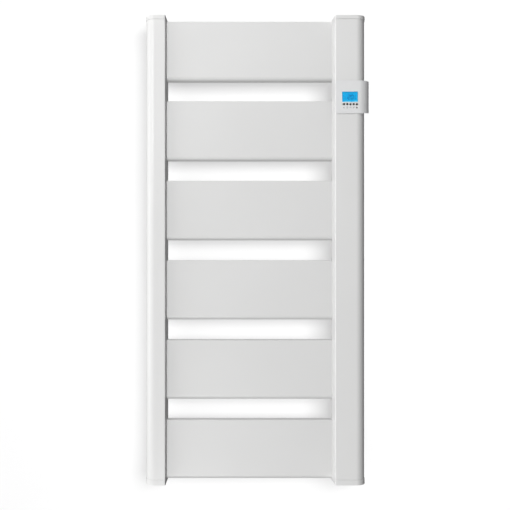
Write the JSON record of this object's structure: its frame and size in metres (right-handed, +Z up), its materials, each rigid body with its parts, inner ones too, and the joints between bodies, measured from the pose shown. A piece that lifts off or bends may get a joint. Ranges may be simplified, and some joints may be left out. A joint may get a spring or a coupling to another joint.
{
  "type": "electric towel radiator",
  "caption": "Wall-hung electric towel radiator: flat heated panels between two columns, with towel gaps and a digital control unit with push keys on the right column.",
  "frame": {"origin": "centre of the wall screw pattern, on the wall plane behind the radiator", "axes": "+X to the right as seen from the room, -Y out of the wall towards the room, +Z up"},
  "size_m": [0.5107, 0.0926, 1.07],
  "materials": {
    "painted_aluminium": "white powder coat, satin",
    "painted_cap": "white moulded plastic, satin",
    "rear_cover": "white extruded plastic, matt",
    "element_sheath": "drawn stainless sheath",
    "silicone_seal": "silicone rubber",
    "zinc_screw": "bright zinc plate",
    "cable_sheath": "heat-resistant cable sheath",
    "terminal_plastic": "moulded polyamide",
    "black_plastic": "black moulded plastic",
    "brass": "turned brass",
    "bracket_paint": "white powder coat",
    "hook_aluminium": "mill finish",
    "fascia_plastic": "white moulded plastic, satin gloss",
    "display_window": "tinted clear window over a lit display",
    "display_glass": "blue negative liquid-crystal glass",
    "backlight_diffuser": "milky light guide",
    "circuit_board": "green solder mask",
    "chip_black": "moulded epoxy",
    "relay_blue": "moulded case",
    "capacitor_yellow": "moulded film capacitor case",
    "capacitor_sleeve": "shrink sleeve",
    "light_pipe": "clear moulded light pipe",
    "key_plastic": "dark grey moulded plastic"
  },
  "bodies": {
    "radiator": {"left_column": "painted_aluminium", "right_column": "painted_aluminium", "panel_1": "painted_aluminium", "panel_2": "painted_aluminium", "panel_3": "painted_aluminium", "panel_4": "painted_aluminium", "panel_5": "painted_aluminium", "panel_6": "painted_aluminium", "left_top_cap": "painted_cap", "left_bottom_cap": "painted_cap", "right_top_cap": "painted_cap", "right_bottom_cap": "painted_cap", "left_rear_cover": "rear_cover", "right_rear_cover": "rear_cover", "cable_gland": "rear_cover", "heating_element_1": "element_sheath", "heating_element_2": "element_sheath", "heating_element_3": "element_sheath", "heating_element_4": "element_sheath", "heating_element_5": "element_sheath", "heating_element_6": "element_sheath", "element_seals": "silicone_seal", "panel_screws": "zinc_screw", "bracket_lock_screws": "zinc_screw", "unit_screws": "zinc_screw", "board_screws": "zinc_screw", "earth_stud": "zinc_screw", "wiring_loom": "cable_sheath", "terminal_block": "terminal_plastic", "thermal_cutout": "black_plastic", "unit_tray": "black_plastic", "key_switches": "black_plastic", "board_link": "black_plastic", "room_sensor": "black_plastic", "earth_nut": "brass", "wall_bracket_1": "bracket_paint", "wall_bracket_2": "bracket_paint", "wall_bracket_3": "bracket_paint", "wall_bracket_4": "bracket_paint", "column_hook_1": "hook_aluminium", "column_hook_2": "hook_aluminium", "column_hook_3": "hook_aluminium", "column_hook_4": "hook_aluminium", "unit_fascia": "fascia_plastic", "display_lens": "display_window", "display": "display_glass", "backlight": "backlight_diffuser", "control_board": "circuit_board", "power_board": "circuit_board", "microcontroller": "chip_black", "relay": "relay_blue", "supply_capacitor": "capacitor_yellow", "smoothing_capacitors": "capacitor_sleeve", "status_light": "light_pipe"},
    "key_1_body": {"key_1": "key_plastic"},
    "key_2_body": {"key_2": "key_plastic"},
    "key_3_body": {"key_3": "key_plastic"},
    "key_4_body": {"key_4": "key_plastic"},
    "key_5_body": {"key_5": "key_plastic"}
  },
  "joints": [
    {"name": "key_1_press", "type": "slide", "parent": "radiator", "child": "key_1_body", "axis": [0, 1, 0], "range_m": [0, 0.0006], "stiffness_N_per_m": 2000, "springref_m": -0.0002},
    {"name": "key_2_press", "type": "slide", "parent": "radiator", "child": "key_2_body", "axis": [0, 1, 0], "range_m": [0, 0.0006], "stiffness_N_per_m": 2000, "springref_m": -0.0002},
    {"name": "key_3_press", "type": "slide", "parent": "radiator", "child": "key_3_body", "axis": [0, 1, 0], "range_m": [0, 0.0006], "stiffness_N_per_m": 2000, "springref_m": -0.0002},
    {"name": "key_4_press", "type": "slide", "parent": "radiator", "child": "key_4_body", "axis": [0, 1, 0], "range_m": [0, 0.0006], "stiffness_N_per_m": 2000, "springref_m": -0.0002},
    {"name": "key_5_press", "type": "slide", "parent": "radiator", "child": "key_5_body", "axis": [0, 1, 0], "range_m": [0, 0.0006], "stiffness_N_per_m": 2000, "springref_m": -0.0002}
  ]
}
